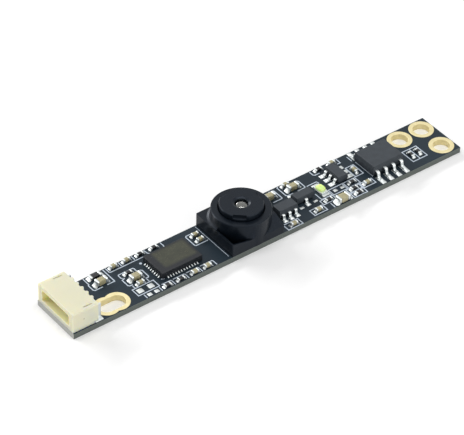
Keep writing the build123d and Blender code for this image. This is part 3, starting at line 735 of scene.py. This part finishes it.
newPiece("controller_side_solder", controllerSolder(), "controller_pads", sharpAngle=60)

# Lamp: a steep rounded dome of cast silicone
lampDome = {"wall": 0.2, "squareness": 0.55, "crownPower": 2.6, "columns": 32, "rows": 9}


def castDome(low, high):
    # A dome over a rounded rectangle: at the share r from the middle its plan is the corner to corner
    # curve with cosine and sine to a low power, and its height falls as r to the crown's power
    share = np.linspace(0, 1, lampDome["rows"])[1:]
    around = np.linspace(0, math.tau, lampDome["columns"], endpoint=False)
    planX, planY = (squared(wave(around), lampDome["squareness"]) for wave in (np.cos, np.sin))
    middle, half = (low + high) / 2, (high - low) / 2
    crown = high[2] - low[2] - lampDome["wall"]
    level = np.append(low[2] + lampDome["wall"] + crown * (1 - share ** lampDome["crownPower"]), low[2])
    share = np.append(share, 1.0)
    return closedLoft(np.stack([
        middle[0] + half[0] * np.outer(share, planX), middle[1] + half[1] * np.outer(share, planY),
        np.outer(level, np.ones_like(around))], axis=-1))


lampLow, lampHigh = (np.array(corner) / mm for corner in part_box("lamp_lens"))
newPiece("cast_lamp_dome", castDome(lampLow, lampHigh), "lamp_lens", ("lamp_lens",), sharpAngle=50)

# The barrel's eye: its straight wall and its flare are opened to the width of the lens's clear part. The
# slacks take in points just outside the drawn radius and below the seat
barrelEye = {
    "drawnRadius": 0.68, "radius": 0.86, "seat": 4.45, "flareDepth": 0.14, "flareFrom": 0.1,
    "radiusSlack": 0.02, "levelSlack": 0.01,
}

# Front lens: ground and polished, so its dome is one true curve
frontLens = {"clearRadius": 0.85, "step": 0.15, "rise": 0.25, "radius": 1.75, "columns": 64, "rows": 14}


def polishedLens(centre, foot, seat):
    # A profile turned about the optical axis: over the clear part the level is the edge's plus the rise
    # times (1 - r^2), then come a step down to the flat rim and a straight edge
    clear = np.linspace(0, 1, frontLens["rows"])[1:]
    edge = seat + frontLens["step"]
    radius = np.concatenate([clear * frontLens["clearRadius"], [frontLens["clearRadius"]],
                             [frontLens["radius"]] * 2])
    level = np.concatenate([edge + frontLens["rise"] * (1 - clear ** 2), [seat, seat, foot]])
    around = np.linspace(0, math.tau, frontLens["columns"], endpoint=False)
    return closedLoft(np.stack([
        centre[0] + np.outer(radius, np.cos(around)), centre[1] + np.outer(radius, np.sin(around)),
        np.outer(level, np.ones_like(around))], axis=-1))


lensLow, lensHigh = (np.array(corner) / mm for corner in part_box("front_lens"))
newPiece("polished_front_lens", polishedLens((lensLow + lensHigh) / 2, lensLow[2], barrelEye["seat"]),
         "front_lens", ("front_lens",), sharpAngle=40)
print("lamp dome and front lens ready")

# Lands round the plated holes on the underside, plated with the bores. Each hole has its middle in X and
# Y and the distance between its two circles, which is 0 but at the keyhole
undersideLands = {
    "bore": 1.1, "land": 1.65, "columns": 48, "depth": 0.02, "proud": 0.004,
    "holes": ((28.3, 2.0, 0), (28.3, -2.0, 0), (24.7, 2.0, 0), (-23.25, -2.0, 1.5)),
}


def undersideRings():
    # A flat band carried round each hole; round the keyhole the outer line is two circles that run
    # together and the inner one is a slot
    half = undersideLands["columns"] // 2
    rings = []
    for centreX, centreY, apart in undersideLands["holes"]:
        sweep = math.pi / 2 if apart == 0 else math.pi - math.acos(apart / 2 / undersideLands["land"])
        outer = np.linspace(-sweep, sweep, half, endpoint=apart > 0)
        inner = np.linspace(-math.pi / 2, math.pi / 2, half, endpoint=apart > 0)
        lines = []
        for angle, radius in ((inner, undersideLands["bore"]), (outer, undersideLands["land"])):
            right = np.stack([apart / 2 + radius * np.cos(angle), radius * np.sin(angle)], axis=-1)
            lines.append(np.concatenate([right, -right]) + (centreX, centreY))
        levels = (-undersideLands["proud"], undersideLands["depth"])
        band = [np.column_stack([lines[line], np.full(2 * half, levels[level])])
                for line, level in ((0, 0), (1, 0), (1, 1), (0, 1), (0, 0))]
        rings.append(np.array(band))
    faces = gridFaces(5, 2 * half)
    return np.concatenate(rings).reshape(-1, 3), joinedFaces(faces, len(rings), 5 * 2 * half)


newPiece("underside_hole_lands", undersideRings(), "end_hole_plating", sharpAngle=30)

# Mouldings, plating and strip, with the rounding that their making leaves at the edges in mm
softEdges = {
    "lens_holder": 0.12, "lens_barrel": 0.07, "connector_housing": 0.05, "controller_body": 0.03,
    "memory_body": 0.05, "lens_side_regulator_body": 0.04, "right_regulator_body": 0.04,
    "transistor_body": 0.04, "end_hole_plating": 0.015, "keyhole_plating": 0.015,
    "connector_contacts": 0.03, "connector_fitting_nails": 0.03, "lamp_base": 0.03,
    "lamp_terminals": 0.03,
}
softened = {softNode: softenedCopy(softNode, rounding) for softNode, rounding in softEdges.items()}


def openEye(mesh):
    # Points near the axis move out by the ratio of the two radii, and the flare's foot comes to its
    # depth below the rim
    points = meshPoints(mesh)
    middle = (lensLow + lensHigh)[:2] / 2
    away = points[:, :2] - middle
    near = (np.hypot(*away.T) < barrelEye["drawnRadius"] + barrelEye["radiusSlack"]) & (
        points[:, 2] > barrelEye["seat"] - barrelEye["levelSlack"])
    points[near, :2] = middle + away[near] * barrelEye["radius"] / barrelEye["drawnRadius"]
    foot = near & (points[:, 2] > barrelEye["seat"] + barrelEye["flareFrom"])
    points[foot, 2] = points[:, 2].max() - barrelEye["flareDepth"]
    movePoints(mesh, points)


openEye(softened["lens_barrel"].data)

# The printed line along the holder is worn thin
holderLine = {"place": -6.75, "reach": 0.09, "kept": 0.5}


def thinLine(mesh):
    # Points by the line close in on its middle to the kept share of its width
    points = meshPoints(mesh)
    across = points[:, 0] - holderLine["place"]
    near = np.abs(across) < holderLine["reach"]
    points[near, 0] = holderLine["place"] + across[near] * holderLine["kept"]
    movePoints(mesh, points)
    return mesh


finishedPiece("dressed_printed_outlines", thinLine(nodes["printed_outlines"].data.copy()),
              "printed_outlines", ("printed_outlines",), sharpAngle=30)
print("edges rounded:", len(softEdges), "pieces")

# Floor, surround and lamps: a white tent, its key lamp behind the far side, a strip lamp overhead and a
# low fill in front. Lamps in metres, each with its share of full light and its turn in degrees
studio = {
    "floorSize": 3.0, "floorLevel": -0.01, "floorColour": "#FAFAFA", "tentStrength": 0.36,
    "cameraLift": 0.08,
    "lamps": {
        "keyStrip": {"place": (-0.12, 0.42, 0.21), "length": 0.5, "height": 0.06, "share": 0.7},
        "overheadStrip": {
            "place": (0.0, 0.0, 0.42), "length": 0.42, "height": 0.12, "share": 0.42, "turn": -38},
        "lowFill": {"place": (0.14, -0.38, 0.12), "length": 0.4, "height": 0.2, "share": 0.36},
    },
}


def seenRays(owner, clamped):
    # Counts what a ray is of these three: a camera, a glossy and a transmission ray; clamped, up to 1
    path = addNode(owner, "ShaderNodeLightPath")
    seen = addNode(owner, "ShaderNodeMath", {
        0: path.outputs["Is Camera Ray"], 1: path.outputs["Is Glossy Ray"]}, operation="ADD")
    return addNode(owner, "ShaderNodeMath", {
        0: seen.outputs[0], 1: path.outputs["Is Transmission Ray"]}, operation="ADD",
        use_clamp=clamped).outputs[0]


def makeFloor():
    half = studio["floorSize"] / 2
    mesh = bpy.data.meshes.new("floor")
    level = studio["floorLevel"] * mm
    corners = [(-half, -half, level), (half, -half, level), (half, half, level), (-half, half, level)]
    mesh.from_pydata(corners, [], [(0, 1, 2, 3)])
    floor = bpy.data.objects.new("floor", mesh)
    bpy.context.scene.collection.objects.link(floor)
    material, shader = newMaterial("paleFloorCard", {
        "Base Color": linearColour(studio["floorColour"]), "Roughness": 0.9, "Specular IOR Level": 0.1})
    # What the camera and the shiny pieces see of the card is lifted to white, and the shadow stays
    lift = addNode(material, "ShaderNodeMath", {
        0: seenRays(material, clamped=False), 1: studio["cameraLift"]}, operation="MULTIPLY",
        use_clamp=True)
    glow = addNode(material, "ShaderNodeEmission", {"Color": (1, 1, 1, 1), "Strength": lift.outputs[0]})
    both = addNode(material, "ShaderNodeAddShader", {0: shader.outputs[0], 1: glow.outputs[0]})
    output = material.node_tree.nodes["Material Output"]
    material.node_tree.links.new(both.outputs[0], output.inputs["Surface"])
    mesh.materials.append(material)


def makeTent():
    # The tent is white to the camera and in reflections, and lights the object at its own strength
    world = bpy.data.worlds.new("tent")
    world.use_nodes = True
    bpy.context.scene.world = world
    background = world.node_tree.nodes["Background"]
    background.inputs["Color"].default_value = (1, 1, 1, 1)
    blend = addNode(world, "ShaderNodeMapRange", {
        "Value": seenRays(world, clamped=True), "To Min": studio["tentStrength"], "To Max": 1.0})
    world.node_tree.links.new(blend.outputs["Result"], background.inputs["Strength"])


def hangLamp(name, place, length, height, share, turn=0):
    # An area lamp whose power gives that share of full light: share times pi squared times distance
    # squared. The turn about its own axis is in degrees
    lamp = bpy.data.lights.new(name, "AREA")
    lamp.shape = "RECTANGLE"
    lamp.size = length
    lamp.size_y = height
    away = Vector(place)
    lamp.energy = share * math.pi ** 2 * away.length_squared
    holder = bpy.data.objects.new(name, lamp)
    holder.location = place
    ownTurn = Quaternion((0, 0, 1), math.radians(turn))
    holder.rotation_euler = (away.to_track_quat("Z", "Y") @ ownTurn).to_euler()
    bpy.context.scene.collection.objects.link(holder)


makeFloor()
makeTent()
for lampName, lampValues in studio["lamps"].items():
    hangLamp(lampName, **lampValues)
print("floor, tent and lamps ready")

# The camera stands where the photograph was taken; the focal length is in pixels of a 464 wide frame
view = {
    "frameWidth": 464, "focalPixels": 2881, "azimuth": -38.20, "elevation": 40.11, "roll": 1.45,
    "distance": 355.9, "right": -2.96, "up": 1.06,
}


def placeCamera():
    azimuth, elevation, roll = (math.radians(view[name]) for name in ("azimuth", "elevation", "roll"))
    back = Vector((math.sin(azimuth) * math.cos(elevation), -math.cos(azimuth) * math.cos(elevation),
                   math.sin(elevation)))
    level = Vector((math.cos(azimuth), math.sin(azimuth), 0))
    upright = level.cross(-back)
    right = level * math.cos(roll) + upright * math.sin(roll)
    up = upright * math.cos(roll) - level * math.sin(roll)
    camera = bpy.data.objects.new("camera", bpy.data.cameras.new("camera"))
    camera.data.sensor_width = 36
    camera.data.lens = view["focalPixels"] / view["frameWidth"] * camera.data.sensor_width
    camera.data.clip_start = 0.01
    camera.data.clip_end = 20
    spot = (back * view["distance"] + right * view["right"] + up * view["up"]) * mm
    camera.matrix_world = Matrix((right, up, back)).transposed().to_4x4()
    camera.location = spot
    bpy.context.scene.collection.objects.link(camera)
    bpy.context.scene.camera = camera


placeCamera()
bpy.context.scene.view_settings.view_transform = "Standard"
